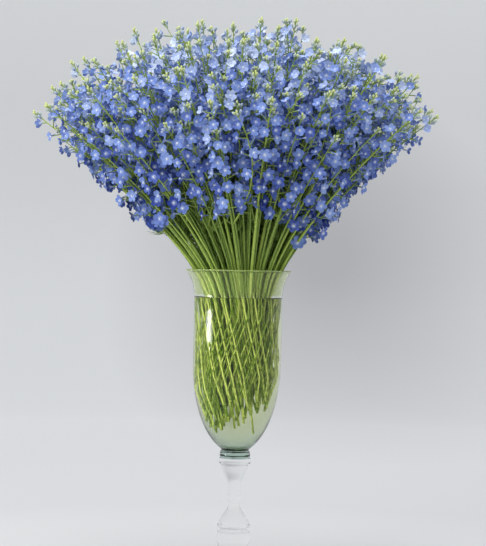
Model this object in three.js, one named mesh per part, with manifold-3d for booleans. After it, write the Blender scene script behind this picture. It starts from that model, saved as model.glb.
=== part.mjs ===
// A round bunch of blue delphinium spikes standing in a footed glass vase.
//
// Millimetres, +Z up, origin at the centre of the foot's underside. The vase is a blown bowl on a
// heavy base disc, bonded to a pressed baluster pedestal. The bowl is filled with water almost to
// its neck. Each spike is one cut flower: a tapering stem that leans through the water with the
// same turn as its neighbours, bends over the rim and carries open florets and a tip of buds. The
// florets are drawn larger and fewer than they grow, so that they still cover the head.
import * as THREE from "three";
import { mergeVertices } from "three/addons/utils/BufferGeometryUtils.js";
import Module from "manifold-3d";

const wasm = await Module();
wasm.setup();

// ---- Driving dimensions ----
const PEDESTAL_HEIGHT = 244;
const VASE_HEIGHT = 620;
const FOOT_RADIUS = 98;
const BOWL_RADIUS = 88;
const RIM_RADIUS = 105.5;
const WALL = 4;
const BOND_GAP = 0.3; // clear adhesive between bowl and pedestal
const LATHE_SIDES = 20;

const WATER_LEVEL = 564;
const WATER_CLEARANCE = 0.3; // round the stems and against the glass

const SPIKE_COUNT = 48;
const STEM_SIDES = 4;
const STEM_RADIUS = 3.7; // at the cut end
const NECK_HEIGHT = 580; // where the bunch passes the bowl's neck
const BUNCH_RADIUS_AT_NECK = 76.5;
const BUNCH_RADIUS_AT_CUT = 55;
const BUNCH_TURN = THREE.MathUtils.degToRad(60); // of the cut ends against the neck
const HEAD_RADIUS = 536; // neck centre to a spike's tip
const HEAD_SPREAD = THREE.MathUtils.degToRad(52); // of the outermost tips from upright
const GOLDEN_ANGLE = Math.PI * (3 - Math.sqrt(5));

const FLORETS_PER_SPIKE = 7;
const FLORET_RADIUS = 34;
const FLORET_CLEARANCE = 1;

// ---- Materials ----
const bowlGlass = new THREE.MeshStandardMaterial({
  color: 0xa9c4ae, roughness: 0.04, metalness: 0, transparent: true, opacity: 0.35,
});
const pedestalGlass = new THREE.MeshStandardMaterial({
  color: 0xe6eeee, roughness: 0.04, metalness: 0, transparent: true, opacity: 0.35,
});
const vaseWater = new THREE.MeshStandardMaterial({
  color: 0xc3d0a4, roughness: 0.02, metalness: 0, transparent: true, opacity: 0.3,
});
const delphiniumBlue = new THREE.MeshStandardMaterial({ color: 0x6f86d6, roughness: 0.6, metalness: 0 });

// ---- Joining and cutting ----
function solidOf(geometry) {
  const bare = new THREE.BufferGeometry()
    .setAttribute("position", geometry.getAttribute("position"))
    .setIndex(geometry.index);
  const merged = mergeVertices(bare, 1e-4);
  return new wasm.Manifold(new wasm.Mesh({
    numProp: 3,
    vertProperties: merged.attributes.position.array,
    triVerts: new Uint32Array(merged.index.array),
  }));
}

function geometryOf(solid) {
  const mesh = solid.getMesh();
  return new THREE.BufferGeometry()
    .setAttribute("position", new THREE.BufferAttribute(mesh.vertProperties, 3))
    .setIndex(new THREE.BufferAttribute(mesh.triVerts, 1));
}

function turned(outline) {
  const upright = new THREE.LatheGeometry(outline, LATHE_SIDES);
  return upright.rotateX(Math.PI / 2);
}

// The same draws on every run: a small multiplicative generator.
function seededDraws(seed) {
  let state = seed;
  return () => {
    state = (state * 16807) % 2147483647;
    return state / 2147483647;
  };
}

// ---- Vase: bowl ----
// The bowl is half an ellipsoid below, upright above, and flares to the rim.
const BELLY_HEIGHT = 430; // top of the ellipsoid
const FLARE_HEIGHT = 570;
const BASE_DISC_RADIUS = 31.5;
const BASE_DISC_TOP = 256;
const BASE_DISC_EDGE = 2; // rounding
const BASE_NECK_RADIUS = 25;
const BELLY_FLOOR = 262; // outside
const INSIDE_FLOOR = 272;
const RIM_ROUNDING = 2;
const BELLY_STEPS = 6;
const FLARE_STEPS = 3;

function belly(radius, depth, fromAngle, steps) {
  return Array.from({ length: steps + 1 }, (_, k) => {
    const angle = fromAngle + ((Math.PI / 2 - fromAngle) * k) / steps;
    return new THREE.Vector2(radius * Math.sin(angle), BELLY_HEIGHT - depth * Math.cos(angle));
  });
}

function flare(neckRadius, rimRadius, top, steps) {
  return Array.from({ length: steps + 1 }, (_, k) => {
    const rise = k / steps;
    return new THREE.Vector2(
      neckRadius + (rimRadius - neckRadius) * rise ** 2,
      FLARE_HEIGHT + (top - FLARE_HEIGHT) * rise,
    );
  });
}

function insideOutline(clearance) {
  const radius = BOWL_RADIUS - WALL - clearance;
  return belly(radius, BELLY_HEIGHT - INSIDE_FLOOR - clearance, 0, BELLY_STEPS);
}

function bowlGeometry() {
  const bottom = PEDESTAL_HEIGHT + BOND_GAP;
  const bellyStart = Math.asin((BASE_NECK_RADIUS + 2) / BOWL_RADIUS);
  const outside = [
    new THREE.Vector2(0, bottom),
    new THREE.Vector2(BASE_DISC_RADIUS - BASE_DISC_EDGE, bottom),
    new THREE.Vector2(BASE_DISC_RADIUS, bottom + BASE_DISC_EDGE),
    new THREE.Vector2(BASE_DISC_RADIUS, BASE_DISC_TOP - BASE_DISC_EDGE),
    new THREE.Vector2(BASE_NECK_RADIUS, BASE_DISC_TOP + 1),
    ...belly(BOWL_RADIUS, BELLY_HEIGHT - BELLY_FLOOR, bellyStart, BELLY_STEPS),
    ...flare(BOWL_RADIUS, RIM_RADIUS, VASE_HEIGHT - RIM_ROUNDING, FLARE_STEPS),
  ];
  const inside = [
    ...flare(BOWL_RADIUS - WALL, RIM_RADIUS - WALL, VASE_HEIGHT - RIM_ROUNDING, FLARE_STEPS).reverse(),
    ...insideOutline(0).reverse(),
  ];
  const rim = new THREE.Vector2(RIM_RADIUS - WALL / 2, VASE_HEIGHT);
  return turned([...outside, rim, ...inside]);
}

// ---- Vase: pedestal ----
// Radius and height along the turned outline, from the flat underside to the plate under the bowl.
function pedestalGeometry() {
  const foot = [[0, 0], [FOOT_RADIUS - 2, 0], [FOOT_RADIUS, 5], [70, 22], [44, 44], [30, 70]];
  const disc = [[33, 78], [33, 96], [27, 102]];
  const bell = [[33, 108], [23, 130], [14, 142], [11, 154]];
  const knops = [[13, 161], [11, 168], [13.5, 182], [12, 192]];
  const cup = [[23, 214], [27, 230]];
  const plate = [[31.5, 235], [31.5, PEDESTAL_HEIGHT], [0, PEDESTAL_HEIGHT]];
  const outline = [...foot, ...disc, ...bell, ...knops, ...cup, ...plate];
  return turned(outline.map(([radius, height]) => new THREE.Vector2(radius, height)));
}

// ---- Spikes: where each stem runs ----
// Below the neck every stem is straight, and one turn and one scale place them all at each height,
// so that no two meet. Above it the turn fades and each stem arches out to its tip.
const RIM_BEND = new THREE.Vector2(100, 680); // control point of the outermost stem's arch
const MIDDLE_BEND_RISE = 40; // the middle stem's is so much higher
const TURN_RATE_AT_NECK = 0.0022; // radians per millimetre
const TURN_FADE = 120;
const LEAN_SCATTER = 0.06; // radians
const SWING_SCATTER = 0.1; // radians round the bunch, at the tip
const REACH_SHORTEST = 0.96; // of the head's radius
const REACH_SCATTER = 0.09;
const CUT_LOWEST = 302;
const CUT_RISE_OUTSIDE = 30; // where the belly draws in
const CUT_SCATTER = 26;

function spikePlan(index, draw) {
  const share = Math.sqrt((index + 0.5) / SPIKE_COUNT); // 0 in the middle, 1 outside
  const evenLean = Math.acos(1 - share ** 2 * (1 - Math.cos(HEAD_SPREAD)));
  const lean = evenLean + LEAN_SCATTER * (draw() - 0.5);
  const reach = HEAD_RADIUS * (REACH_SHORTEST + REACH_SCATTER * draw());
  return {
    share,
    azimuth: index * GOLDEN_ANGLE,
    tipSwing: SWING_SCATTER * (draw() - 0.5),
    tip: new THREE.Vector2(reach * Math.sin(lean), NECK_HEIGHT + reach * Math.cos(lean)),
    cutHeight: CUT_LOWEST + CUT_RISE_OUTSIDE * share ** 2 + CUT_SCATTER * draw(),
  };
}

function around(radius, azimuth, height) {
  return new THREE.Vector3(radius * Math.cos(azimuth), radius * Math.sin(azimuth), height);
}

// Straight part: the line from the cut plane to the neck, taken at a height.
const CUT_PLANE = 310;

function inVase(plan, height) {
  const low = around(BUNCH_RADIUS_AT_CUT * plan.share, plan.azimuth + BUNCH_TURN, CUT_PLANE);
  const high = around(BUNCH_RADIUS_AT_NECK * plan.share, plan.azimuth, NECK_HEIGHT);
  return low.lerp(high, (height - CUT_PLANE) / (NECK_HEIGHT - CUT_PLANE));
}

// Arched part: along is 0 at the neck and 1 at the tip.
function aboveNeck(plan, along) {
  const arch = new THREE.QuadraticBezierCurve(
    new THREE.Vector2(BUNCH_RADIUS_AT_NECK * plan.share, NECK_HEIGHT),
    new THREE.Vector2(RIM_BEND.x * plan.share, RIM_BEND.y + MIDDLE_BEND_RISE * (1 - plan.share)),
    plan.tip,
  ).getPoint(along);
  const turn = TURN_RATE_AT_NECK * TURN_FADE * (1 - Math.exp((NECK_HEIGHT - arch.y) / TURN_FADE));
  return around(arch.x, plan.azimuth - turn + plan.tipSwing * along, arch.y);
}

// Directions at a point of a stem: along its axis, out from the bunch, and to the side of both.
function across(at, ahead) {
  const axis = ahead.clone().sub(at).normalize();
  const side = new THREE.Vector3(-at.y, at.x, 0).normalize();
  const out = new THREE.Vector3().crossVectors(side, axis).normalize();
  side.crossVectors(axis, out);
  return { axis, side, out };
}

// ---- Spikes: stem with its tip of buds ----
function taperedTube(stations) {
  const position = [];
  const index = [];
  const last = stations.length - 1;
  stations.forEach(({ at, radius }, level) => {
    const before = stations[Math.max(level - 1, 0)].at;
    const after = stations[Math.min(level + 1, last)].at;
    const { side, out } = across(at, at.clone().add(after).sub(before));
    for (let k = 0; k < STEM_SIDES; k += 1) {
      const angle = (2 * Math.PI * (k + 0.5)) / STEM_SIDES;
      const corner = at.clone().addScaledVector(out, radius * Math.cos(angle));
      corner.addScaledVector(side, radius * Math.sin(angle));
      position.push(...corner);
    }
  });
  for (let level = 0; level < last; level += 1) {
    for (let k = 0; k < STEM_SIDES; k += 1) {
      const a = level * STEM_SIDES + k;
      const b = level * STEM_SIDES + ((k + 1) % STEM_SIDES);
      index.push(a, b, b + STEM_SIDES, a, b + STEM_SIDES, a + STEM_SIDES);
    }
  }
  const top = last * STEM_SIDES;
  for (let k = 1; k < STEM_SIDES - 1; k += 1) {
    index.push(0, k + 1, k);
    index.push(top, top + k, top + k + 1);
  }
  return new THREE.BufferGeometry()
    .setAttribute("position", new THREE.Float32BufferAttribute(position, 3))
    .setIndex(index);
}

// Stations above the neck: how far along the arch, and the stem's radius there. The last ones
// swell into the buds.
const STEM_TAPER = [[0, 3.5], [0.25, 3.3], [0.55, 3], [0.92, 2.4], [0.96, 6], [1, 1]];

function stemStations(plan) {
  const arched = STEM_TAPER.map(([along, radius]) => ({ along, at: aboveNeck(plan, along), radius }));
  return [{ along: -1, at: inVase(plan, plan.cutHeight), radius: STEM_RADIUS }, ...arched];
}

function stemHole(plan) {
  const radius = STEM_RADIUS + WATER_CLEARANCE * Math.SQRT2;
  return solidOf(taperedTube([
    { at: inVase(plan, plan.cutHeight - WATER_CLEARANCE), radius },
    { at: inVase(plan, NECK_HEIGHT), radius },
  ]));
}

// ---- Spikes: florets ----
const SEPALS = 5;
const NOTCH_REACH = 0.62; // between two sepals; this and the next three are shares of the radius
const NOTCH_FORWARD = 0.06;
const THROAT_DEPTH = 0.12;
const CUP_DEPTH = 0.34;
const SPUR_SIDES = 3;
const SPUR_RADIUS = 6.5;
const SPUR_SUNK = 1.2; // past the stem's axis

// Five pointed sepals round a sunken throat. The back draws in to a spur that tapers into the
// stem, so the floret is one closed body. grow thickens it all over, to test for room.
function floretSolid({ root, facing, stalk, radius }, grow = 0) {
  const front = root.clone().addScaledVector(facing, stalk + grow);
  const side = new THREE.Vector3(0, 0, 1).cross(facing).normalize();
  const up = new THREE.Vector3().crossVectors(facing, side);
  const spot = (centre, forward, reach, angle) => centre.clone()
    .addScaledVector(facing, forward)
    .addScaledVector(side, reach * Math.cos(angle))
    .addScaledVector(up, reach * Math.sin(angle));
  const rimCount = 2 * SEPALS;
  const points = [spot(front, grow - THROAT_DEPTH * radius, 0, 0)];
  for (let k = 0; k < rimCount; k += 1) {
    const isTip = k % 2 === 0;
    const forward = isTip ? 0 : NOTCH_FORWARD * radius;
    const reach = (isTip ? radius : NOTCH_REACH * radius) + grow;
    points.push(spot(front, forward, reach, Math.PI / 2 + (k * Math.PI) / SEPALS));
  }
  for (let k = 0; k < SPUR_SIDES; k += 1) {
    const angle = Math.PI / 2 + (2 * Math.PI * k) / SPUR_SIDES;
    points.push(spot(front, -CUP_DEPTH * radius - grow, SPUR_RADIUS + grow, angle));
  }
  points.push(spot(root, -SPUR_SUNK - grow, 0, 0));

  const index = [];
  const rim = (k) => 1 + (k % rimCount);
  const collar = (k) => 1 + rimCount + (k % SPUR_SIDES);
  const nearest = (k) => Math.round((k * SPUR_SIDES) / rimCount);
  for (let k = 0; k < rimCount; k += 1) {
    index.push(0, rim(k), rim(k + 1));
    index.push(rim(k + 1), rim(k), collar(nearest(k)));
    if (nearest(k) !== nearest(k + 1)) {
      index.push(rim(k + 1), collar(nearest(k)), collar(nearest(k + 1)));
    }
  }
  for (let k = 0; k < SPUR_SIDES; k += 1) {
    index.push(collar(k + 1), collar(k), points.length - 1);
  }
  return solidOf(new THREE.BufferGeometry()
    .setAttribute("position", new THREE.Float32BufferAttribute(points.flatMap((p) => [...p]), 3))
    .setIndex(index));
}

function boxesMeet(a, b) {
  return a.min.every((low, axis) => low <= b.max[axis] && b.min[axis] <= a.max[axis]);
}

function hasRoom(trial, others) {
  const box = trial.boundingBox();
  return others.every((other) => !boxesMeet(box, other.box) || trial.intersect(other.solid).isEmpty());
}

// A floret grows from one of the stem's four faces. It moves on to the next face, and then to a
// shorter or longer stalk, until it is clear of all others.
const FLOWERING_FROM = 0.5; // along the arch
const FLOWERING_TO = 0.95;
const LEVEL_SCATTER = 0.5; // of the distance between two florets
const TOP_FLORET_SIZE = 0.8; // of the lowest's
const TILT_LOWEST = 0.2; // along the stem, against one out of it
const TILT_TOP = 0.8;
const STALK_LENGTH = 34;
const STALK_CHANGES = [0, -8, 8, -14, 16];
const INNER_SHARE = 0.45; // spikes inside it have no room for their lowest florets
const INNER_LOWEST = 2;

function placeFlorets(spikes, draw) {
  const { lerp } = THREE.MathUtils;
  const placed = [];
  for (let level = 0; level < FLORETS_PER_SPIKE; level += 1) {
    spikes.forEach((spike, number) => {
      if (spike.plan.share < INNER_SHARE && level < INNER_LOWEST) {
        return;
      }
      const height = (level + 0.3 + LEVEL_SCATTER * draw()) / FLORETS_PER_SPIKE; // 1 under the buds
      const along = lerp(FLOWERING_FROM, FLOWERING_TO, height);
      const above = spike.stations.find((station) => station.along > along);
      const below = spike.stations[spike.stations.indexOf(above) - 1];
      const within = (along - below.along) / (above.along - below.along);
      const root = below.at.clone().lerp(above.at, within);
      const { axis, side, out } = across(root, above.at);
      const faces = [out, side, out.clone().negate(), side.clone().negate()];
      const radius = FLORET_RADIUS * lerp(1, TOP_FLORET_SIZE, height);
      const tilt = lerp(TILT_LOWEST, TILT_TOP, height);
      const otherStems = spikes.filter((other) => other !== spike).map((other) => other.stem);
      for (let attempt = 0; attempt < faces.length * STALK_CHANGES.length; attempt += 1) {
        const face = faces[(2 * level + Math.floor(level / 2) + number + attempt) % faces.length];
        const facing = face.clone().addScaledVector(axis, tilt).normalize();
        const stalk = STALK_LENGTH + STALK_CHANGES[Math.floor(attempt / faces.length)];
        const floret = { root, facing, stalk, radius };
        const trial = floretSolid(floret, FLORET_CLEARANCE);
        if (hasRoom(trial, otherStems) && hasRoom(trial, placed)) {
          const solid = floretSolid(floret);
          placed.push({ solid, box: solid.boundingBox() });
          spike.florets.push(solid);
          break;
        }
      }
    });
  }
}

// ---- Assembly ----
const bunch = new THREE.Group();

function add(name, geometry, material) {
  const mesh = new THREE.Mesh(geometry, material);
  mesh.name = name;
  bunch.add(mesh);
}

const draw = seededDraws(20407);
const spikes = Array.from({ length: SPIKE_COUNT }, (_, index) => {
  const plan = spikePlan(index, draw);
  const stations = stemStations(plan);
  const solid = solidOf(taperedTube(stations));
  return { plan, stations, stem: { solid, box: solid.boundingBox() }, florets: [] };
});
placeFlorets(spikes, draw);

const waterOutline = [
  ...insideOutline(WATER_CLEARANCE),
  new THREE.Vector2(BOWL_RADIUS - WALL - WATER_CLEARANCE, WATER_LEVEL),
  new THREE.Vector2(0, WATER_LEVEL),
];
const holes = wasm.Manifold.union(spikes.map(({ plan }) => stemHole(plan)));

add("vase_pedestal", pedestalGeometry(), pedestalGlass);
add("vase_bowl", bowlGeometry(), bowlGlass);
add("water", geometryOf(solidOf(turned(waterOutline)).subtract(holes)), vaseWater);
spikes.forEach(({ stem, florets }, index) => {
  const spike = wasm.Manifold.union([stem.solid, ...florets]);
  add(`spike_${String(index + 1).padStart(2, "0")}`, geometryOf(spike), delphiniumBlue);
});

export default bunch;
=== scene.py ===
import itertools
import math

import bpy
from mathutils import Matrix, Quaternion, Vector
from mathutils.geometry import interpolate_bezier


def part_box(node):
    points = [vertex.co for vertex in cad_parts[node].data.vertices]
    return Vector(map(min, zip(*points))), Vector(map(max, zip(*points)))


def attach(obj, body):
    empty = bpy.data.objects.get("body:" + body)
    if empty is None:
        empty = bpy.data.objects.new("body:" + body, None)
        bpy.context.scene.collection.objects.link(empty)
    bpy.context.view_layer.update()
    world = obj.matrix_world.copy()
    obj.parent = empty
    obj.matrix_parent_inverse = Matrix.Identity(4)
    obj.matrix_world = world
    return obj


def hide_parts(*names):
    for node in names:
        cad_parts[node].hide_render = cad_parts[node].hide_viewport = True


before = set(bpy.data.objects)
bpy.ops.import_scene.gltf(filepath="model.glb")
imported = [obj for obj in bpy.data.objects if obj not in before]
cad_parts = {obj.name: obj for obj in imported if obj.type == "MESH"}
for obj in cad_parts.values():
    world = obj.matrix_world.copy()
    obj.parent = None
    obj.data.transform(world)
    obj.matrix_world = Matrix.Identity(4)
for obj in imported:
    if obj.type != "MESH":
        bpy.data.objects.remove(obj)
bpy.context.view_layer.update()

# ---- Pedestal ----
# One pressing of clear glass: a domed round foot, a disc, a bell, two knops and an inverted cup
# under a flat plate. Fire-polished all over and bonded to the bowl's base disc.
MM = 0.001
foot_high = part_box("vase_pedestal")[1]
FOOT_RADIUS = foot_high.x / MM
PEDESTAL_HEIGHT = foot_high.z / MM
EDGE_ROUNDING = 0.9 * MM
TURNED_SIDES = 96
SHARP_EDGE = math.radians(40)


def at(radius, height):
    """A point of a turned outline, both given in millimetres."""
    return Vector((radius, 0, height)) * MM


def curve_through(points, steps=5):
    """Points along one smooth curve through all the given ones."""
    ends = [points[0], *points, points[-1]]
    curve = [points[0]]
    for before, start, end, after in zip(ends, ends[1:], ends[2:], ends[3:]):
        leaving = start + (end - before) / 6
        arriving = end - (after - start) / 6
        curve += interpolate_bezier(start, leaving, arriving, end, steps + 1)[1:]
    return curve


def turned(name, outline):
    """A piece turned about the upright axis, closed where its outline meets the axis."""
    bpy.ops.object.select_all(action="DESELECT")
    bpy.ops.mesh.primitive_plane_add(size=MM)
    piece = bpy.context.active_object
    piece.name = name
    bpy.ops.object.mode_set(mode="EDIT")
    bpy.ops.mesh.merge(type="CENTER")
    bpy.ops.transform.translate(value=outline[0])
    for start, end in zip(outline, outline[1:]):
        bpy.ops.mesh.extrude_region_move(TRANSFORM_OT_translate={"value": end - start})
    bpy.ops.mesh.select_all(action="SELECT")
    bpy.ops.mesh.spin(steps=TURNED_SIDES, angle=math.tau, center=(0, 0, 0), axis=(0, 0, 1))
    bpy.ops.mesh.select_all(action="SELECT")
    bpy.ops.mesh.remove_doubles(threshold=0.001 * MM)
    bpy.ops.mesh.normals_make_consistent(inside=False)
    bpy.ops.object.mode_set(mode="OBJECT")
    bpy.ops.object.shade_smooth_by_angle(angle=SHARP_EDGE)
    return piece


class Value:
    """A shader socket in a Python expression: a sum with it adds a Math node."""

    def __init__(self, finish, socket):
        self.finish = finish
        self.socket = socket

    def math(self, operation, first, second):
        return self.finish.node("ShaderNodeMath", {"operation": operation}, {0: first, 1: second})

    def __add__(self, other):
        return self.math("ADD", self, other)

    def __radd__(self, other):
        return self.math("ADD", other, self)

    def __sub__(self, other):
        return self.math("SUBTRACT", self, other)

    def __rsub__(self, other):
        return self.math("SUBTRACT", other, self)

    def __mul__(self, other):
        return self.math("MULTIPLY", self, other)

    def __rmul__(self, other):
        return self.math("MULTIPLY", other, self)


class Finish:
    """A material under construction."""

    def __init__(self, name):
        self.material = bpy.data.materials.new(name)
        self.material.use_nodes = True
        self.tree = self.material.node_tree
        self.tree.nodes.clear()

    def node(self, kind, settings=None, sockets=None, output=0):
        """Adds any node, with its settings, its values and its links, and gives back an output."""
        made = self.tree.nodes.new(kind)
        for name, value in (settings or {}).items():
            setattr(made, name, value)
        for name, value in (sockets or {}).items():
            if isinstance(value, Value):
                self.tree.links.new(value.socket, made.inputs[name])
            else:
                made.inputs[name].default_value = value
        return Value(self, made.outputs[output]) if len(made.outputs) else None

    def mix(self, factor, first, second):
        """A blend of two colours: all of the first at 0, all of the second at 1."""
        return self.node(
            "ShaderNodeMix", {"data_type": "RGBA"}, {0: factor, 6: first, 7: second}, output=2
        )

    def ramp(self, value, start, end):
        """Rises evenly from 0 at the start to 1 at the end, and stays level on either side."""
        return self.node(
            "ShaderNodeMapRange", {}, {"Value": value, "From Min": start, "From Max": end}
        )

    def height(self):
        """How high each point of the piece lies, in metres."""
        place = self.node("ShaderNodeTexCoord", output="Object")
        return self.node("ShaderNodeSeparateXYZ", {}, {0: place}, output=2)

    def noise(self, scale, detail=2.0):
        """A soft random pattern fixed to the piece, scale in waves a metre, mostly 0.3 to 0.7."""
        place = self.node("ShaderNodeTexCoord", output="Object")
        return self.node(
            "ShaderNodeTexNoise", {}, {"Vector": place, "Scale": scale, "Detail": detail}
        )

    def give(self, piece):
        piece.data.materials.append(self.material)


def rgb(red, green, blue):
    """A screen colour of 0 to 255 a channel as the shader's linear colour."""
    def linear(level):
        share = level / 255
        return share / 12.92 if share <= 0.04045 else ((share + 0.055) / 1.055) ** 2.4

    return (linear(red), linear(green), linear(blue), 1.0)


def clear_finish(name, ior, shine, tint, density, ripple, tint_and_shade=None, drops_and_haze=None):
    """Something clear that bends light and takes on its tint with depth.

    The last two are functions: one builds the surface's own tint and any painted shade, the other its
    share of fine drops, which also paint a haze.
    """
    finish = Finish(name)
    wave = finish.node(
        "ShaderNodeBump",
        {},
        {"Strength": 0.3, "Distance": ripple, "Height": finish.noise(34.0, 3.0)},
    )
    surface = finish.node(
        "ShaderNodeBsdfPrincipled",
        {},
        {
            "Base Color": tint_and_shade(finish) if tint_and_shade else (1, 1, 1, 1),
            "Roughness": 0.01 + 0.02 * finish.noise(60.0, 4.0),
            "IOR": ior,
            "Specular Tint": (shine, shine, shine, 1),
            "Transmission Weight": 1.0,
            "Normal": wave,
        },
    )
    if drops_and_haze:
        # The drops' pale green is partly a painted haze, standing in for the neck's reflections.
        drops = finish.node(
            "ShaderNodeBsdfPrincipled", {}, {"Base Color": rgb(178, 198, 112), "Roughness": 0.4}
        )
        surface = finish.node("ShaderNodeMixShader", {}, {0: drops_and_haze(finish), 1: surface, 2: drops})
    depth = finish.node("ShaderNodeVolumeAbsorption", {}, {"Color": tint, "Density": density})
    finish.node("ShaderNodeOutputMaterial", {}, {"Surface": surface, "Volume": depth})
    return finish


underside = [at(0, 0), at(FOOT_RADIUS - 1, 0)]
foot = curve_through([at(98, 5), at(88, 14), at(66, 26), at(46, 42), at(34, 58), at(30, 70)])
disc = [at(33, 78), at(33, 96), at(27.5, 100), at(27.5, 104)]
bell = curve_through([at(33, 108), at(29, 120), at(20, 134), at(13, 144), at(11, 154)])
knops = curve_through([at(11, 154), at(12.8, 160), at(11.6, 166), at(13.6, 176), at(12, 187)])
cup = curve_through([at(12, 187), at(15, 200), at(22, 214), at(26.5, 230)])
plate = [at(31.5, 234), at(31.5, PEDESTAL_HEIGHT), at(0, PEDESTAL_HEIGHT)]
pedestal = turned("pedestal", [*underside, *foot, *disc, *bell, *knops[1:], *cup[1:], *plate])
bevel = pedestal.modifiers.new("rounding", "BEVEL")
bevel.width = EDGE_ROUNDING
bevel.segments = 3
bevel.angle_limit = SHARP_EDGE
bpy.ops.object.modifier_apply(modifier=bevel.name)

# The low index keeps its edges faint against the pale wall.
clear_finish(
    "pressed_glass",
    ior=1.1,
    shine=0.4,
    tint=(0.93, 0.99, 0.97, 1),
    density=0.3,
    ripple=0.2 * MM,
).give(pedestal)
pedestal.visible_shadow = False
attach(pedestal, "root")
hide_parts("vase_pedestal")

# ---- Bowl ----
# Blown soda glass, faintly green and darker where it is thick, with painted shade under its floor: a
# deep round belly on a heavy base disc, upright sides and a flared rim, cracked off, ground and
# fire-polished.
RIM_RADIUS = 105.5
BOWL_RADIUS = 88
WALL = 3.6
BELLY_HEIGHT = 430
BELLY_FLOOR = 253
INSIDE_FLOOR = 272
SIDE_TOP = 566
RIM_HEIGHT = 620
BELLY_STEPS = 20
FLARE_STEPS = 10
LIP_STEPS = 6
DISC_TOP_RADIUS = 28


def belly(radius, floor, start=0.0):
    """The bowl's lower half, a half ellipse from the floor up."""
    angles = [start + (math.pi / 2 - start) * step / BELLY_STEPS for step in range(BELLY_STEPS + 1)]
    depth = BELLY_HEIGHT - floor
    return [at(radius * math.sin(a), BELLY_HEIGHT - depth * math.cos(a)) for a in angles]


def upright(radius):
    """Rings up the straight side, so that its shading stays straight."""
    return [at(radius, height) for height in (440, 470, 505, 540, 558)]


def flare(radius, rim_radius, top):
    """From the upright side out to the rim, flatter as it goes."""
    shares = [step / FLARE_STEPS for step in range(FLARE_STEPS + 1)]
    return [
        at(radius + (rim_radius - radius) * share**2, SIDE_TOP + (top - SIDE_TOP) * share)
        for share in shares
    ]


base_disc = [
    at(0, PEDESTAL_HEIGHT + 0.3),
    at(29.5, PEDESTAL_HEIGHT + 0.3),
    at(30.5, PEDESTAL_HEIGHT + 1.5),
    at(30.3, 254),
    at(29.2, 257.5),
    at(27.4, 260),
]
half_wall = WALL / 2
lip_middle = at(RIM_RADIUS - half_wall, RIM_HEIGHT - half_wall)
lip = [
    lip_middle + at(half_wall * math.cos(a), half_wall * math.sin(a))
    for a in (math.pi * step / LIP_STEPS for step in range(1, LIP_STEPS))
]
bowl = turned(
    "bowl",
    [
        *base_disc,
        *belly(BOWL_RADIUS, BELLY_FLOOR, math.asin(DISC_TOP_RADIUS / BOWL_RADIUS)),
        *upright(BOWL_RADIUS),
        *flare(BOWL_RADIUS, RIM_RADIUS, RIM_HEIGHT - half_wall),
        *lip,
        *reversed(flare(BOWL_RADIUS - WALL, RIM_RADIUS - WALL, RIM_HEIGHT - half_wall)),
        *reversed(upright(BOWL_RADIUS - WALL)),
        *reversed(belly(BOWL_RADIUS - WALL, INSIDE_FLOOR)),
    ],
)

NECK_START = 572
NECK_STAIN = (0.89, 0.93, 0.71, 1)
# Painted shade: the dark band on the solid glass under the inside floor.
FLOOR_PAINTED_SHADE = (0.5, 0.58, 0.44, 1)


def painted_floor_shade_and_neck_tint(finish):
    """Painted shade on the solid glass under the belly's floor, and the greener neck."""
    height = finish.height()
    above_disc = finish.ramp(height, 257 * MM, 262 * MM)
    below_floor = 1 - finish.ramp(height, (INSIDE_FLOOR - 3) * MM, (INSIDE_FLOOR + 1) * MM)
    above_side = finish.ramp(height, SIDE_TOP * MM, NECK_START * MM)
    return finish.mix(
        below_floor * above_disc, finish.mix(above_side, (1, 1, 1, 1), NECK_STAIN), FLOOR_PAINTED_SHADE
    )


def neck_drops_haze_and_edge(finish):
    """Fine drops on the glass above the water, fewer towards the rim, whose pale green also paints in
    the neck's haze, and the lip's ground edge.
    """
    height = finish.height()
    above_side = finish.ramp(height, SIDE_TOP * MM, NECK_START * MM)
    under_rim = 1 - 0.4 * finish.ramp(height, 580 * MM, (RIM_HEIGHT - 1) * MM)
    ground_edge = finish.ramp(height, (RIM_HEIGHT - 4) * MM, (RIM_HEIGHT - 1) * MM)
    return 0.11 * above_side * under_rim * finish.noise(70.0, 3.0) + 0.45 * ground_edge


clear_finish(
    "blown_glass",
    ior=1.5,
    shine=0.35,
    tint=(0.25, 0.50, 0.39, 1),
    density=16.5,
    ripple=0.8 * MM,
    tint_and_shade=painted_floor_shade_and_neck_tint,
    drops_and_haze=neck_drops_haze_and_edge,
).give(bowl)
bowl.visible_shadow = False
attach(bowl, "root")
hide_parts("vase_bowl")

# ---- Water ----
# Fills the bowl to just under its neck and wets the glass all over, with a small rise where it
# meets the wall. Tinted green by a day of cut stems.
WATER_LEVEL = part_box("water")[1].z / MM
WETTING = 0.05
MENISCUS = 2.2
wet_radius = BOWL_RADIUS - WALL + WETTING
water_top = [
    at(wet_radius, WATER_LEVEL + MENISCUS),
    at(wet_radius - 0.9, WATER_LEVEL + 0.7),
    at(wet_radius - 3, WATER_LEVEL),
    at(0, WATER_LEVEL),
]
water = turned(
    "water_fill",
    [*belly(wet_radius, INSIDE_FLOOR - WETTING), *upright(wet_radius), *water_top],
)
clear_finish(
    "vase_water",
    ior=1.333,
    shine=0.05,
    tint=(0.82, 0.87, 0.30, 1),
    density=6.4,
    ripple=0.02 * MM,
).give(water)
water.visible_shadow = False
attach(water, "root")
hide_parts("water")

# ---- Delphinium spikes ----
# Each is one cut flower: a smooth green stem that leans through the water, bends over the rim and
# carries open blue florets on thin stalks, forks low down and ends in buds. Grown in one piece.
SPIKE_COUNT = 48
GOLDEN_ANGLE = math.pi * (3 - math.sqrt(5))
CUT_PLANE = 310
NECK_HEIGHT = 580
NECK = Vector((0, 0, NECK_HEIGHT)) * MM
UP = Vector((0, 0, 1))

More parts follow.
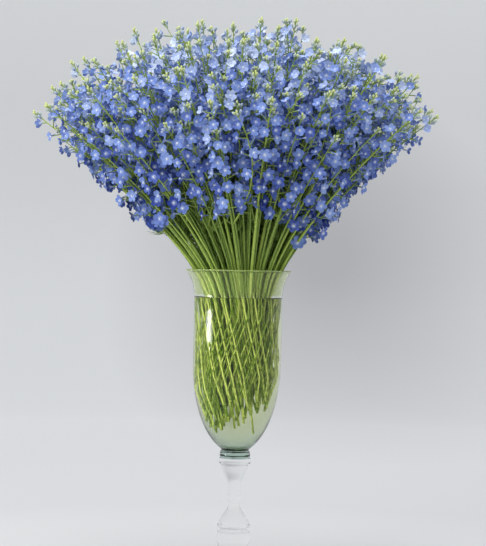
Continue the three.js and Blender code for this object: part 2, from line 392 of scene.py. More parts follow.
# Inside the vase: the bunch's radius at each height, and the turn that the hand gave it, which
# slows down towards the neck and fades above it.
BUNCH_OUTLINE = (
    (310, 46), (340, 50), (370, 52), (410, 53), (450, 52), (490, 51), (530, 54), (560, 63), (580, 72)
)
BUNCH_TURN = math.radians(76)
TURN_RATE_AT_NECK = 0.0022
TURN_FADE = 120
TURN_ABOVE_NECK = TURN_RATE_AT_NECK * TURN_FADE


def bunch_radius(height):
    """How wide the whole bunch is at a height inside the vase."""
    for (low, narrow), (high, wide) in zip(BUNCH_OUTLINE, BUNCH_OUTLINE[1:]):
        if height <= high:
            return narrow + (wide - narrow) * (height - low) / (high - low)
    return BUNCH_OUTLINE[-1][1]


def bunch_turn(height):
    """How far the whole bunch has turned at a height inside the vase."""
    share = (NECK_HEIGHT - height) / (NECK_HEIGHT - CUT_PLANE)
    even_turn = TURN_RATE_AT_NECK * (NECK_HEIGHT - CUT_PLANE)
    return even_turn * share + (BUNCH_TURN - even_turn) * share**2


def around(radius, azimuth, height):
    """A place given round the vase's axis, in millimetres and radians."""
    return Vector((radius * math.cos(azimuth), radius * math.sin(azimuth), height)) * MM


# The head is close to a part of a ball round the neck. Each stem strays a little from it. The
# crown stands up, the slope beside it lies lower and the shoulders stand out. The right side is
# tucked in and the outer tips hang.
HEAD_RADIUS = 536
HEAD_SPREAD = math.radians(50)
LEAN_SCATTER = 0.06
REACH_SCATTER = 0.06
TIP_SWING = 0.1
CROWN_LONGER = 14
SHOULDERS_OUT = 17
LEFT_LONGER = 0.005
RIGHT_TUCK = math.radians(2.4)
TIP_HANG = Vector((6, -30))
RIM_BEND = Vector((116, 664))
MIDDLE_BEND_RISE = 40
SLIM = 45
SLIM_RIGHT = 110

# The cut ends: higher round the edge of the bunch, and all but the leftmost ones pushed up by
# different amounts.
LOWEST_CUT = 296
OUTER_CUTS_HIGHER = 36
PUSHED_UP = 48


class Line:
    """Where one stem runs. Below the neck all stems share one turn and scale, so none meet.

    share is how far out it stands in the bunch, and shortest its least length over the neck, as a
    share of the head's radius. rise is how much higher it is cut.
    """

    def __init__(self, share, azimuth, draws, shortest, rise=0.0, spread=1.0):
        self.share = share
        self.azimuth = azimuth
        self.right = share * math.cos(azimuth - TURN_ABOVE_NECK)
        self.front = -share * math.sin(azimuth - TURN_ABOVE_NECK)
        even_lean = math.acos(1 - share**2 * (1 - math.cos(HEAD_SPREAD * spread)))
        lean = even_lean + LEAN_SCATTER * (next(draws) - 0.5) - RIGHT_TUCK * max(0, self.right)
        reach = HEAD_RADIUS * (shortest + REACH_SCATTER * next(draws))
        reach *= 1 - LEFT_LONGER * self.right
        reach += CROWN_LONGER * (1 - share**2) ** 8 - SHOULDERS_OUT * math.sin(math.tau * share)
        self.tip_swing = TIP_SWING * (next(draws) - 0.5)
        self.tip = Vector((reach * math.sin(lean), NECK_HEIGHT + reach * math.cos(lean)))
        to_the_right = min(1, max(0, 1.3 + 2.2 * share * math.cos(azimuth + BUNCH_TURN)))
        pushed_up = PUSHED_UP * next(draws) ** 0.4 * to_the_right
        self.cut_height = LOWEST_CUT + OUTER_CUTS_HIGHER * share**4 + pushed_up + rise

    def in_vase(self, height):
        """The stem's place at a height inside the vase."""
        return around(bunch_radius(height) * self.share, self.azimuth + bunch_turn(height), height)

    def above_neck(self, along):
        """A point of the arch, from 0 at the neck to 1 at the tip."""
        neck = Vector((bunch_radius(NECK_HEIGHT) * self.share, NECK_HEIGHT))
        bend = Vector((RIM_BEND.x * self.share, RIM_BEND.y + MIDDLE_BEND_RISE * (1 - self.share)))
        arch = neck.lerp(bend, along).lerp(bend.lerp(self.tip, along), along)
        arch += TIP_HANG * (1 - 0.15 * max(0, self.right)) * (self.share * along) ** 4
        slim = SLIM * (1 - along) + SLIM_RIGHT * along * max(0, self.right)
        arch.x -= slim * self.share * along * (1 - along)
        turn = TURN_ABOVE_NECK * (1 - math.exp((NECK_HEIGHT - arch.y) / TURN_FADE))
        return around(arch.x, self.azimuth - turn + self.tip_swing * along, arch.y)


# The crossing stems of an outer spike: how far above its cut each one parts from it, its turn in
# radians a millimetre, its gap to the bunch in millimetres and how light its skin is.
CROSSING_TOP = 535
CROSSING_FADE = 25
CROSSING_KINDS = ((8, -0.0042, 8, 0.8), (22, 0.0066, 4, 0.1), (36, 0.0054, 10, 0.2))
CROSSED_SPIKES = 16


class Crossing(Line):
    """A stem outside all the others, that leaves its parent low down and leans its own way."""

    def __init__(self, parent, kind, draws):
        parts_above, self.rate, self.gap, self.light = kind
        leaves_at = parent.cut_height + parts_above
        turned_back = self.rate * (CROSSING_TOP - leaves_at)
        azimuth = parent.azimuth + bunch_turn(leaves_at) - bunch_turn(CROSSING_TOP) + turned_back
        super().__init__(0.88 + 0.1 * next(draws), azimuth, draws, shortest=0.855)
        self.cut_height = leaves_at

    def in_vase(self, height):
        outside = min(1, max(0, CROSSING_TOP + CROSSING_FADE - height) / CROSSING_FADE)
        turn = bunch_turn(max(height, CROSSING_TOP)) - self.rate * max(0, CROSSING_TOP - height)
        return around(bunch_radius(height) + self.gap * outside, self.azimuth + turn, height)


RIBS = (430.0, 430.0, 40.0)


def leaf_finish(name, light, dark, gloss, sheen, ribbed=1.3):
    """Green skin with fine ribs along it, lighter or darker from stem to stem."""
    finish = Finish(name)
    tone = finish.node("ShaderNodeAttribute", {"attribute_name": "tone"}, output="Fac")
    place = finish.node("ShaderNodeTexCoord", output="Object")
    ribs = finish.node("ShaderNodeVectorMath", {"operation": "MULTIPLY"}, {0: place, 1: RIBS})
    streak = finish.node("ShaderNodeTexNoise", {}, {"Vector": ribs, "Scale": 1.0, "Detail": 2.0})
    skin = finish.node(
        "ShaderNodeBsdfPrincipled",
        {},
        {
            "Base Color": finish.mix(tone + ribbed * (streak - 0.5), dark, light),
            "Roughness": gloss + 0.2 * streak,
            "Specular IOR Level": sheen,
        },
    )
    finish.node("ShaderNodeOutputMaterial", {}, {"Surface": skin})
    return finish


def petal_finish(name, deep, light, pale, heart):
    """A petal: deep to light to pale from floret to floret, with a paler heart. The pale end is partly
    painted top light.
    """
    finish = Finish(name)
    tone = finish.node("ShaderNodeAttribute", {"attribute_name": "tone"}, output="Fac")
    reach = finish.node("ShaderNodeAttribute", {"attribute_name": "reach"}, output="Fac")
    blotch = finish.noise(260.0)
    shade = tone + 0.7 * (blotch - 0.5)
    blue = finish.mix(0.8 * (shade - 1.0), finish.mix(shade, deep, light), pale)
    skin = finish.node(
        "ShaderNodeBsdfPrincipled",
        {},
        {
            "Base Color": finish.mix(0.7 * finish.ramp(reach, 0.5, 0.16), blue, heart),
            "Roughness": 0.45 + 0.3 * blotch,
            "Specular IOR Level": 0.3,
        },
    )
    finish.node("ShaderNodeOutputMaterial", {}, {"Surface": skin})
    return finish


def bud_finish(name, opening, closed):
    """One colour on the buds about to open and another on the closed ones at the spike's tip."""
    finish = Finish(name)
    tone = finish.node("ShaderNodeAttribute", {"attribute_name": "tone"}, output="Fac")
    mottle = finish.noise(200.0)
    colour = finish.mix(tone + 0.5 * (mottle - 0.5), opening, closed)
    skin = finish.node(
        "ShaderNodeBsdfPrincipled", {}, {"Base Color": colour, "Roughness": 0.4 + 0.2 * mottle}
    )
    finish.node("ShaderNodeOutputMaterial", {}, {"Surface": skin})
    return finish


# The neck and wet stem finishes are the stem's green painted paler, a painted light inside the glass;
# the wet one also has little sheen.
stem_skin = leaf_finish("stem_skin", rgb(164, 188, 86), rgb(98, 124, 54), 0.4, 0.25)
neck_stem_painted_light = leaf_finish("neck_stem_painted_light", rgb(246, 255, 172), rgb(130, 162, 78), 0.4, 0.2)
wet_stem_painted_light = leaf_finish("wet_stem_painted_light", rgb(240, 252, 138), rgb(112, 148, 28), 0.5, 0.02, 2.6)
leaf_skin = leaf_finish("leaf_skin", rgb(140, 166, 76), rgb(80, 106, 42), 0.45, 0.3)
sepal_blue = petal_finish(
    "sepal_blue", rgb(42, 64, 154), rgb(124, 149, 213), rgb(216, 226, 242), rgb(190, 204, 236)
)
bee_white = petal_finish(
    "bee_white", rgb(196, 206, 232), rgb(232, 236, 240), rgb(236, 240, 240), rgb(226, 232, 238)
)
bud_skin = bud_finish("bud_skin", rgb(136, 156, 212), rgb(200, 210, 122))


def shaped(finish, rule=None):
    """The new primitive with its finish, each vertex moved to where the rule puts it."""
    made = bpy.context.active_object
    bpy.ops.object.transform_apply(location=True, rotation=True, scale=True)
    finish.give(made)
    for vertex in made.data.vertices if rule else ():
        vertex.co = rule(vertex.co)
    return made


def joined(parts):
    """All the parts as one object."""
    bpy.ops.object.select_all(action="DESELECT")
    for piece in parts:
        piece.select_set(True)
    bpy.context.view_layer.objects.active = parts[0]
    if len(parts) > 1:
        bpy.ops.object.join()
    return bpy.context.active_object


def pattern(parts, smooth):
    """One shape made of the parts, kept as a mesh from which every copy is taken.

    Its reach attribute runs from 0 at the floret's heart to 1 at the sepals' ends and behind.
    """
    shape = joined(parts)
    bpy.ops.object.shade_smooth_by_angle(angle=math.radians(smooth))
    shape.data.attributes.new("reach", "FLOAT", "POINT")
    shape.data.attributes.new("tone", "FLOAT", "POINT")
    for vertex, reach in zip(shape.data.vertices, shape.data.attributes["reach"].data):
        behind = vertex.co.z < -0.5 * MM
        reach.value = 1.0 if behind else Vector(vertex.co.xy).length / (SEPAL_LENGTH * MM)
    mesh = shape.data
    bpy.data.objects.remove(shape)
    return mesh


SEPAL_LENGTH = 12.2
SEPAL_WIDTH = 10.2
SEPAL_START = 0.5
SEPAL_CUP = 2.6
SEPAL_CROWN = 0.8
SEPAL_ROLL = math.radians(9)
CLOSED_FOLD = math.radians(70)


def sepal(turn, opening):
    """One thin closed sepal, an egg-shaped blade with a raised middle. opening is 1 when flat."""
    bpy.ops.mesh.primitive_circle_add(vertices=8, radius=1, fill_type="TRIFAN")

    def egg(place):
        if place.length < 0.5:
            return Vector((SEPAL_LENGTH * 0.5, 0, SEPAL_CUP * 0.25 + SEPAL_CROWN)) * MM
        angle = math.atan2(place.y, place.x)
        x = SEPAL_START + SEPAL_LENGTH * (1 + math.cos(angle)) / 2
        y = SEPAL_WIDTH / 2 * math.sin(angle) * (1 + 0.2 * math.cos(angle))
        return Vector((x, y, SEPAL_CUP * (x / SEPAL_LENGTH) ** 2)) * MM

    blade = shaped(sepal_blue, egg)
    bpy.ops.object.mode_set(mode="EDIT")
    bpy.ops.mesh.select_all(action="SELECT")
    bpy.ops.mesh.select_mode(type="EDGE")
    bpy.ops.mesh.region_to_loop()
    bpy.ops.mesh.edge_face_add()
    bpy.ops.mesh.select_mode(type="VERT")
    bpy.ops.mesh.select_all(action="SELECT")
    bpy.ops.mesh.normals_make_consistent(inside=False)
    bpy.ops.object.mode_set(mode="OBJECT")
    fold = Matrix.Rotation(-(1 - opening) * CLOSED_FOLD, 4, "Y")
    roll = Matrix.Rotation(SEPAL_ROLL, 4, "X")
    blade.data.transform(Matrix.Rotation(turn, 4, "Z") @ fold @ roll)
    return blade


def floret_shape(opening, twist):
    """An open floret facing +Z with its throat at the origin: five sepals, a pale bee and a spur."""
    parts = [sepal(twist + k * math.tau / 5, opening * (0.93 if k % 2 else 1.0)) for k in range(5)]
    bpy.ops.mesh.primitive_cone_add(
        vertices=5, radius1=2.7 * MM, radius2=1.4 * MM, depth=3.2 * MM, location=(0, 0, 1.8 * MM)
    )
    parts.append(shaped(bee_white))
    bpy.ops.mesh.primitive_cone_add(
        vertices=4,
        radius1=0.3 * MM,
        radius2=2.0 * MM,
        depth=14 * MM,
        location=(0, 2 * MM, -6.6 * MM),
        rotation=(math.radians(16), 0, 0),
    )
    parts.append(shaped(sepal_blue))
    return pattern(parts, 50)


def bud_shape():
    """A closed bud pointing along +Z from its stalk's end at the origin, with its short spur."""
    bpy.ops.mesh.primitive_ico_sphere_add(subdivisions=1, radius=1)
    body = shaped(bud_skin, lambda p: Vector((2.8 * p.x, 2.8 * p.y, 4.4 + 4.8 * p.z)) * MM)
    bpy.ops.mesh.primitive_cone_add(
        vertices=3,
        radius1=0.3 * MM,
        radius2=1.2 * MM,
        depth=8 * MM,
        location=(0, 2.2 * MM, -1.5 * MM),
        rotation=(math.radians(24), 0, 0),
    )
    return pattern([body, shaped(bud_skin)], 80)


def stalk_shape():
    """A floret's stalk, one metre long along +Z from the origin, so that it scales to its length."""
    bpy.ops.mesh.primitive_cone_add(
        vertices=4, radius1=1.2 * MM, radius2=0.8 * MM, depth=1, location=(0, 0, 0.5)
    )
    return pattern([shaped(stem_skin)], 80)


def bract_shape():
    """A narrow leafy bract along +Z, keeled and pointed."""
    bpy.ops.mesh.primitive_cone_add(
        vertices=4, radius1=1.0, radius2=0, depth=1, location=(0, 0, 0.5)
    )
    blade = shaped(stem_skin, lambda p: Vector((2.4 * p.x, 0.6 * p.y + 5 * p.z**2, 26 * p.z)) * MM)
    return pattern([blade], 40)


LOBE_LENGTHS = (30, 42, 48, 42, 30)
LOBE_FAN = math.radians(24)
LEAF_STALK = 14


def leaf_shape():
    """A small divided leaf along +Z: five narrow keeled lobes on a short stalk."""
    lobes = []
    for lobe, length in enumerate(LOBE_LENGTHS, start=-2):
        bpy.ops.mesh.primitive_cone_add(
            vertices=4, radius1=1.0, radius2=0.25, depth=1, location=(0, 0, 0.5)
        )

        def lobed(p, lean=LOBE_FAN * lobe, length=length):
            across = p.x * (1.0 + 9 * p.z * (1 - p.z))
            x = across * math.cos(lean) + length * p.z * math.sin(lean)
            z = LEAF_STALK + length * p.z * math.cos(lean) - across * math.sin(lean)
            return Vector((x, 0.5 * p.y + 7 * p.z**2, z)) * MM

        bpy.ops.object.mode_set(mode="EDIT")
        bpy.ops.mesh.select_all(action="SELECT")
        bpy.ops.mesh.bisect(plane_co=(0, 0, 0.45), plane_no=(0, 0, 1))
        bpy.ops.object.mode_set(mode="OBJECT")
        lobes.append(shaped(leaf_skin, lobed))
    bpy.ops.mesh.primitive_cone_add(
        vertices=4, radius1=0.9 * MM, radius2=1.1 * MM, depth=15 * MM, location=(0, 0, 7.5 * MM)
    )
    lobes.append(shaped(leaf_skin))
    return pattern(lobes, 40)


FLORETS = [floret_shape(1.0, 0.3), floret_shape(0.86, 0.9), floret_shape(0.66, 0.0)]
BUD = bud_shape()
STALK = stalk_shape()
BRACT = bract_shape()
LEAF = leaf_shape()


def set_along(origin, direction, spin=0.0, scale=(1, 1, 1)):
    """A matrix that sets a shape's +Z along a direction."""
    turn = direction.to_track_quat("Z", "Y") @ Quaternion((0, 0, 1), spin)
    return Matrix.LocRotScale(origin, turn, Vector(scale))


def planted(shape, placing, tone):
    """A copy of a shape, with its own mesh."""
    copy = bpy.data.objects.new("growth", shape.copy())
    copy.data.transform(placing)
    copy.data.attributes["tone"].data.foreach_set("value", [tone] * len(copy.data.vertices))
    bpy.context.collection.objects.link(copy)
    return copy


# Painted shade: stems are painted darker low in the vase, from the first height down to the second.
SHADE_PAINTED_UNDER = 400
SHADE_PAINTED_DARKEST_AT = 310
SHADE_PAINTED_BY = 0.45


def tube(path, radii, sides, tone):
    """A closed tapering tube through a path: painted paler, a painted light, between the water and
    the rim, and under water the wet finish, with little sheen and also painted paler.
    """
    shape = bpy.data.curves.new("stem_line", "CURVE")
    shape.dimensions = "3D"
    shape.bevel_depth = 1.0
    shape.bevel_resolution = sides // 4 - 1
    shape.use_fill_caps = True
    line = shape.splines.new("POLY")
    line.points.add(len(path) - 1)
    for point, place, radius in zip(line.points, path, radii):
        point.co = (*place, 1)
        point.radius = radius * MM
    held = bpy.data.objects.new("growth", shape)
    bpy.context.collection.objects.link(held)
    bpy.ops.object.select_all(action="DESELECT")
    held.select_set(True)
    bpy.context.view_layer.objects.active = held
    bpy.ops.object.convert(target="MESH")
    bpy.ops.object.shade_smooth()
    made = bpy.context.active_object
    stem_skin.give(made)
    # Painted light: inside the glass the stem takes the paler finishes, above the water and below it.
    if path[0].z < WATER_LEVEL * MM:
        neck_stem_painted_light.give(made)
        wet_stem_painted_light.give(made)
        for face in made.data.polygons:
            under_rim = face.center.z < (RIM_HEIGHT - 4) * MM
            face.material_index = int(under_rim) + int(face.center.z < WATER_LEVEL * MM)
    # Painted shade: darker paint towards the bottom of the vase.
    sunk = [
        min(1, max(0, (SHADE_PAINTED_UNDER - vertex.co.z / MM) / (SHADE_PAINTED_UNDER - SHADE_PAINTED_DARKEST_AT)))
        for vertex in made.data.vertices
    ]
    made.data.attributes.new("tone", "FLOAT", "POINT")
    made.data.attributes["tone"].data.foreach_set(
        "value", [tone - SHADE_PAINTED_BY * share for share in sunk]
    )
    return made


def bud(root, out, axis, angle, height, small):
    """A bud on its stalk, shorter, smaller and greener towards the tip."""
    length = (8 - 5 * height) * MM * small
    way = (out * (1 - 0.5 * height) + axis * (1 + height)).normalized()
    size = small * (1.15 - 0.5 * height)
    placing = set_along(root + way * length, way, angle, (size,) * 3)
    return [
        planted(STALK, set_along(root, way, 0, (1, 1, length)), 0.6),
        planted(BUD, placing, 0.2 + 0.9 * height),
    ]


# Painted top light: florets are painted paler the higher they stand above the first height, up to the
# second.
PAINTED_TOP_LIGHT_FROM = 900 * MM
PAINTED_TOP_LIGHT_FULL_AT = 1100 * MM


def floret(root, out, axis, height, draws, tone, small, hanging):
    """An open floret on its stalk: smaller, less open and painted paler towards the tip, a painted top
    light.
    """
    length = (22 - 9 * height + 6 * next(draws) + hanging * (1 - height) ** 8) * MM * small
    way = (out + axis * (0.35 + 0.4 * height)).normalized()
    end = root + way * length
    painted_top_light = max(0, end.z - PAINTED_TOP_LIGHT_FROM) / (PAINTED_TOP_LIGHT_FULL_AT - PAINTED_TOP_LIGHT_FROM)
    # Painted top light: the tone rises towards the spike's tip and high in the bunch.
    shade = tone + next(draws) - 0.5 + 0.3 * height**2 + 1.15 * painted_top_light
    outside = (root - NECK).normalized()
    facing = (out + axis * (0.1 + 0.35 * height) + outside * 0.3).normalized()
    size = small * (1.06 - 0.16 * height) * (0.88 + 0.24 * next(draws))
    shape = FLORETS[0 if height < 0.7 else 1 if height < 0.93 else 2]
    placing = set_along(end + facing * 3 * MM, facing, math.tau * next(draws), (size,) * 3)
    return [
        planted(STALK, set_along(root, way, 0, (1, 1, length)), 0.5),
        planted(shape, placing, shade),
    ]


FIRST_BUD = 0.972


def raceme(point_at, first, open_count, bud_count, draws, tone, small=1.0, hanging=0.0):
    """Florets and then buds set round a stem, from the place of the first one to its tip.

    hanging is how many millimetres longer the lowest floret's stalk is.
    """
    parts = []
    for number in range(open_count + bud_count):
        is_bud = number >= open_count
        if is_bud:
            height = (number - open_count + 0.5) / bud_count
            along = FIRST_BUD + (1 - FIRST_BUD) * height
        else:
            height = ((number + 0.6 * next(draws)) / open_count) ** 0.85
            along = first + (FIRST_BUD - first) * height
        root = point_at(along)
        axis = (point_at(along + 0.01) - root).normalized()
        out = axis.cross(UP).normalized()
        angle = number * GOLDEN_ANGLE + 0.5 * next(draws)
        out.rotate(Quaternion(axis, angle))
        if is_bud:
            parts += bud(root, out, axis, angle, height, small)
        else:
            parts += floret(root, out, axis, height, draws, tone, small, hanging)
    return parts


SHOOT_SPREAD = 52
SHOOT_RADII = (1.7, 1.6, 1.5, 1.4, 1.3, 1.1, 0.7)
SHOOT_FLORETS = 12
WIDEST_END = math.radians(50.5)
WIDEST_MIDDLE = math.radians(47.5)


def leans_out(place):
    """The angle between a place of the head and the upright, seen from the neck."""
    return (place - NECK).angle(UP)


def side_shoot(stem, start, spin, draws, tone):
    """A side raceme that leaves a stem and bends up beside it to the head's outside."""
    root = stem.above_neck(start)
    axis = (stem.above_neck(start + 0.02) - root).normalized()
    tip = stem.above_neck(1.0)
    end_axis = (tip - stem.above_neck(0.98)).normalized()
    out = end_axis.cross(UP).normalized()
    out.rotate(Quaternion(end_axis, spin))
    spread = SHOOT_SPREAD * (0.8 + 0.4 * next(draws)) * MM

    def end_and_bend(shorter):
        end = tip + out * spread - end_axis * shorter * MM
        return end, root + (axis * 0.45 + out * 0.3) * (end - root).length

    end, bend = end_and_bend(5 + 45 * next(draws))
    middle = root / 4 + bend / 2 + end / 4
    if leans_out(end) > WIDEST_END or leans_out(middle) > WIDEST_MIDDLE:
        out = -out
        end, bend = end_and_bend(30)

    def shoot_at(along):
        return root.lerp(bend, along).lerp(bend.lerp(end, along), along)

    parts = [tube([shoot_at(k / 6) for k in range(7)], SHOOT_RADII, 4, tone)]
    parts += raceme(shoot_at, 0.3, SHOOT_FLORETS, 6, draws, tone, small=0.95)
    parts.append(planted(BRACT, set_along(root, (axis + out).normalized()), tone))
    return parts


def foliage(stem, count, lowest, highest, draws):
    """Leaves on the inside of a stem, where the head begins."""
    leaves = []
    for leaf in range(count):
        start = lowest + (highest - lowest) * (leaf + 0.5 * next(draws)) / count
        root = stem.above_neck(start)
        axis = (stem.above_neck(start + 0.02) - root).normalized()
        inward = -Vector((root.x, root.y, 0)).normalized()
        side = axis.cross(inward).normalized() * (next(draws) - 0.5) * 2
        placing = set_along(root, (axis * 1.2 + inward + side).normalized())
        leaves.append(planted(LEAF, placing, next(draws)))
    return leaves


def wisp(stem):
    """One small leaf on the outside of a stem, just under its florets."""
    root = stem.above_neck(0.43)
    outward = Vector((root.x, root.y, 0)).normalized()
    return planted(LEAF, set_along(root, outward, 0.4, (0.7,) * 3), 0.3)


# The radii of a stem from the neck to its tip, and in the water, which makes it look wider.
STEM_RADII = (2.8, 3.1, 3.2, 3.0, 2.8, 2.6, 2.4, 2.2, 2.0, 1.7, 1.3, 0.8)
STEM_WET_RADIUS = 1.9
THIN_RADII = (2.0, 2.2, 2.1, 2.0, 1.9, 1.8, 1.7, 1.6, 1.5, 1.3, 1.1, 0.8)
THIN_WET_RADIUS = 1.5
VASE_HEIGHTS = (350, 380, 410, 440, 470, 500, 525, 545, WATER_LEVEL)


def stem_tube(stem, parent, radii, wet_radius, tone):
    """A stem from its cut, or from where it parts from its parent, to its tip."""
    own = [height for height in VASE_HEIGHTS if height > stem.cut_height + 30]
    sunk = [parent.in_vase(stem.cut_height), *(stem.in_vase(height) for height in own)]
    arch = [stem.above_neck(step / 11) for step in range(12)]
    return tube([*sunk, *arch], [wet_radius] * len(sunk) + list(radii), 8, tone)


def thin_stem(stem, parent, tone):
    """A stem that carries little or nothing."""
    return stem_tube(stem, parent, THIN_RADII, THIN_WET_RADIUS, tone)


def lowest_floret(stem, draws):
    """Where a stem's florets begin: lower at the sides of the bunch, most of all at its right."""
    in_front = 0.02 * max(0, stem.front)
    at_right, at_left = 0.185 * max(0, stem.right) ** 4, 0.09 * max(0, -stem.right) ** 4
    return 0.49 + in_front - at_right - at_left + 0.12 * next(draws)


MAIN_FLORETS = 22
LATE_FLORETS = 8
LATE_FROM = 0.74
CROSSING_FLORETS = 12
HANGING_AT_RIGHT = 16
LEFTMOST = -0.85


def grown(number, line, fork, late, blind, crossings, draws):
    """One whole spike as a piece: the main stem and those that part from it under water."""
    parts = []
    for stem, light in ((line, 0.7), (fork, 0.15)):
        tone = 0.25 + 0.5 * next(draws)
        skin_tone = light + 0.25 * next(draws)
        parts.append(stem_tube(stem, line, STEM_RADII, STEM_WET_RADIUS, skin_tone))
        parts += foliage(stem, 5, 0.24 + 0.14 * stem.share, 0.84, draws)
        first, hanging = lowest_floret(stem, draws), HANGING_AT_RIGHT * max(0, stem.right) ** 4
        parts += raceme(stem.above_neck, first, MAIN_FLORETS, 7, draws, tone, hanging=hanging)
        for shoot in range(2):
            start = 0.44 + 0.1 * shoot + 0.05 * next(draws)
            spin = number * 1.9 + shoot * math.pi * 0.9 + 1.5 * next(draws)
            parts += side_shoot(stem, start, spin, draws, tone)
    parts.append(thin_stem(late, line, 0.3 * next(draws)))
    parts += raceme(late.above_neck, LATE_FROM, LATE_FLORETS, 6, draws, tone=0.5, small=0.95)
    parts.append(thin_stem(blind, line, 0.3 * next(draws)))
    parts += foliage(blind, 6, 0.3, 1.0, draws)
    if line.right < LEFTMOST:
        parts.append(wisp(line))
    for stem in crossings:
        parts.append(thin_stem(stem, line, stem.light + 0.3 * next(draws)))
        first = lowest_floret(stem, draws)
        parts += raceme(stem.above_neck, first, CROSSING_FLORETS, 5, draws, tone=0.5, small=0.95)
    piece = joined(parts)
    piece.name = f"delphinium_{number + 1:02d}"
    piece.data.name = piece.name
    return piece


def ring_place(index):
    """A stem's place in the bunch, as a share of its radius and a turn."""
    return math.sqrt((index + 0.5) / SPIKE_COUNT), index * GOLDEN_ANGLE


def gap_between(index, other):
    """How far apart two places of the bunch are, as a share of its radius."""
    share, azimuth = ring_place(index)
    other_share, other_azimuth = ring_place(other)
    between = math.cos(azimuth - other_azimuth)
    return math.sqrt(share**2 + other_share**2 - 2 * share * other_share * between)


def nearest_places(offset):
    """A free place for each spike: the nearest one left, then traded while a trade brings both in."""
    free = [index + offset for index in range(SPIKE_COUNT)]
    places = {}
    for index in reversed(range(SPIKE_COUNT)):
        places[index] = min(free, key=lambda place: gap_between(index, place))
        free.remove(places[index])
    for one, two in 4 * list(itertools.combinations(range(SPIKE_COUNT), 2)):
        kept = gap_between(one, places[one]) ** 2 + gap_between(two, places[two]) ** 2
        traded = gap_between(one, places[two]) ** 2 + gap_between(two, places[one]) ** 2
        if traded < kept:
            places[one], places[two] = places[two], places[one]
    return [places[index] for index in range(SPIKE_COUNT)]


def family(offset, draws, shortest, rise, spread=1.0):
    """One more stem for every spike, in the gaps between the others."""
    return [Line(*ring_place(place), draws, shortest, rise, spread) for place in nearest_places(offset)]


def seeded_draws(seed):
    """Endless draws from 0 to 1, the same on every run."""
    state = seed
    while True:
        state = state * 16807 % 2147483647
        yield state / 2147483647


# The main stems take the same draws as the solids that they replace.
main_draws = seeded_draws(20407)
draws = seeded_draws(7121)
lines = [Line(*ring_place(index), main_draws, shortest=0.975) for index in range(SPIKE_COUNT)]
forks = family(0.5, draws, shortest=0.955, rise=15)
lates = family(0.8, draws, shortest=0.855, rise=35)
blinds = family(0.3, draws, shortest=0.435, rise=55, spread=0.85)

# One main stem near the right is cut longer than the rest there.
STRAY_END = Vector((31, -18, CUT_PLANE)) * MM
STRAY_CUT = 300
stray = min(lines, key=lambda line: (line.in_vase(CUT_PLANE) - STRAY_END).length)
stray.cut_height = STRAY_CUT

for number, stems in enumerate(zip(lines, forks, lates, blinds)):
    kinds = CROSSING_KINDS if number >= SPIKE_COUNT - CROSSED_SPIKES else ()
    crossings = [Crossing(stems[0], kind, draws) for kind in kinds]
    piece = grown(number, *stems, crossings, draws)
    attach(piece, "root")
    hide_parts(f"spike_{number + 1:02d}")
for shape in (*FLORETS, BUD, STALK, BRACT, LEAF):
    bpy.data.meshes.remove(shape)

# ---- Studio ----
# A pale seamless floor that curves up into a round wall, a window to the left, soft light from
# above and the front, and the camera at the rim's height.
FLOOR_END = 4.6
COVE_RADIUS = 5.5
COVE_STEPS = 24
WALL_TOP = 7
PALE_PAINT = rgb(212, 213, 213)
GREY_PAINT = rgb(160, 160, 162)
SHADE_MIDDLE = (0.53, 1.7, 0.72)

cove = [
    Vector((FLOOR_END + COVE_RADIUS * math.sin(a), 0, COVE_RADIUS * (1 - math.cos(a))))
    for a in (math.pi / 2 * step / COVE_STEPS for step in range(COVE_STEPS + 1))
]
wall = turned("studio_floor", [Vector((0, 0, 0)), *cove, Vector((cove[-1].x, 0, WALL_TOP))])

# Painted shade and light: the paint is greyer in one broad soft painted shadow behind the vase, on
# the brightly lit floor and a little on the far floor, painted paler in the vase's own shadow, and a
# little greyer half way up the wall.
studio = Finish("studio_paint")
place = studio.node("ShaderNodeTexCoord", output="Object")
squeezed = studio.node(
    "ShaderNodeVectorMath", {"operation": "MULTIPLY"}, {0: place, 1: (1.0, 0.25, 1.0)}
)
from_shade = studio.node(
    "ShaderNodeVectorMath", {"operation": "DISTANCE"}, {0: squeezed, 1: SHADE_MIDDLE}, output=1
)
from_vase = studio.node("ShaderNodeVectorMath", {"operation": "LENGTH"}, {0: place}, output=1)
shade = studio.ramp(from_shade, 1.4, 0.1)
lit_floor = studio.ramp(from_vase, 3.5, 0.5)
far_floor = studio.ramp(from_vase, 4.8, 3.8)
shadow = studio.ramp(from_vase, 1.1, 0.45)
height = studio.height()
half_way_up = studio.ramp(height, 0.4, 1.2) * studio.ramp(height, 2.7, 1.8)
grey = shade + 0.64 * lit_floor + 0.08 * far_floor - 0.28 * shadow + 0.19 * half_way_up
paint = studio.node(
    "ShaderNodeBsdfPrincipled",
    {},
    {
        "Base Color": studio.mix(grey + 0.06 * (studio.noise(0.6) - 0.5), PALE_PAINT, GREY_PAINT),
        "Roughness": 0.9,
        "Specular IOR Level": 0.1,
        # The paint glows faintly, a painted light that brightens the whole studio.
        "Emission Color": (0.97, 0.98, 1.0, 1),
        "Emission Strength": 0.16,
    },
)
studio.node("ShaderNodeOutputMaterial", {}, {"Surface": paint})
studio.give(wall)

DAYLIGHT = (1.0, 0.99, 0.97)


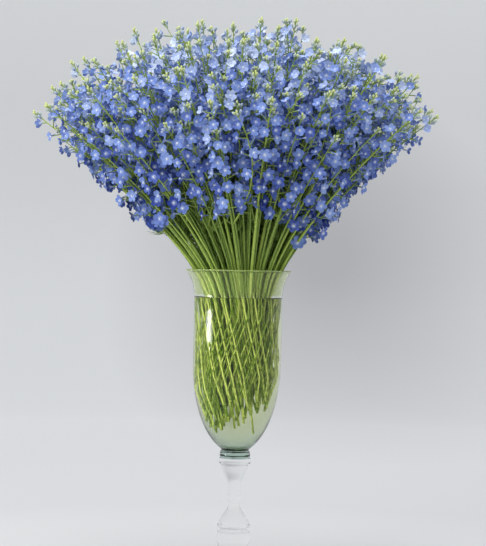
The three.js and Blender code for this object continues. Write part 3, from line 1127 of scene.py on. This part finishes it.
def lamp(name, place, target, width, height, watts, colour=DAYLIGHT):
    """A soft lamp that shines from its place at the target."""
    light = bpy.data.lights.new(name, "AREA")
    light.shape = "RECTANGLE"
    light.size = width
    light.size_y = height
    light.energy = watts
    light.color = colour
    held = bpy.data.objects.new(name, light)
    held.location = place
    held.rotation_mode = "QUATERNION"
    held.rotation_quaternion = (Vector(target) - Vector(place)).to_track_quat("-Z", "Y")
    bpy.context.collection.objects.link(held)
    return held


window = lamp("window", (-1.87, -0.35, 0.44), (0, 0, 0.48), 0.9, 0.10, 0.24)
window.data.spread = math.radians(25)
window.visible_transmission = False
key = lamp("key", (-1.5, -1.9, 1.9), (0, 0, 0.7), 1.2, 1.2, 26)
key.visible_transmission = False
low_left = lamp("low_left", (-2.4, -1.6, 0.7), (0, 0, 0.8), 1.0, 1.0, 2.3)
low_left.data.spread = math.radians(80)
low_left.visible_glossy = False
low_left.visible_transmission = False
lamp("overhead", (-0.2, -0.3, 3.4), (0, 0, 0.8), 2.2, 2.2, 54, (1, 1, 1))
lamp("front_fill", (1.5, -3.2, 1.9), (0, 0, 0.7), 1.6, 1.6, 8, (0.98, 0.99, 1.0))

world = bpy.data.worlds.new("studio_air")
bpy.context.scene.world = world
world.use_nodes = True
world.node_tree.nodes["Background"].inputs["Color"].default_value = (0.95, 0.97, 1.0, 1)
world.node_tree.nodes["Background"].inputs["Strength"].default_value = 0.8
bpy.context.scene.view_settings.view_transform = "Standard"

CAMERA_DISTANCE = 3.3
CAMERA_HEIGHT = 0.614
CAMERA_SIDE = 0.0086
CAMERA_ROLL = math.radians(-1.2)
VIEW_HALF_HEIGHT = 0.546
camera_data = bpy.data.cameras.new("camera")
camera_data.lens = camera_data.sensor_width / 2 / (VIEW_HALF_HEIGHT / CAMERA_DISTANCE)
camera = bpy.data.objects.new("camera", camera_data)
camera.location = (CAMERA_SIDE, -CAMERA_DISTANCE, CAMERA_HEIGHT)
camera.rotation_euler = (math.pi / 2, CAMERA_ROLL, 0)
bpy.context.collection.objects.link(camera)
bpy.context.scene.camera = camera
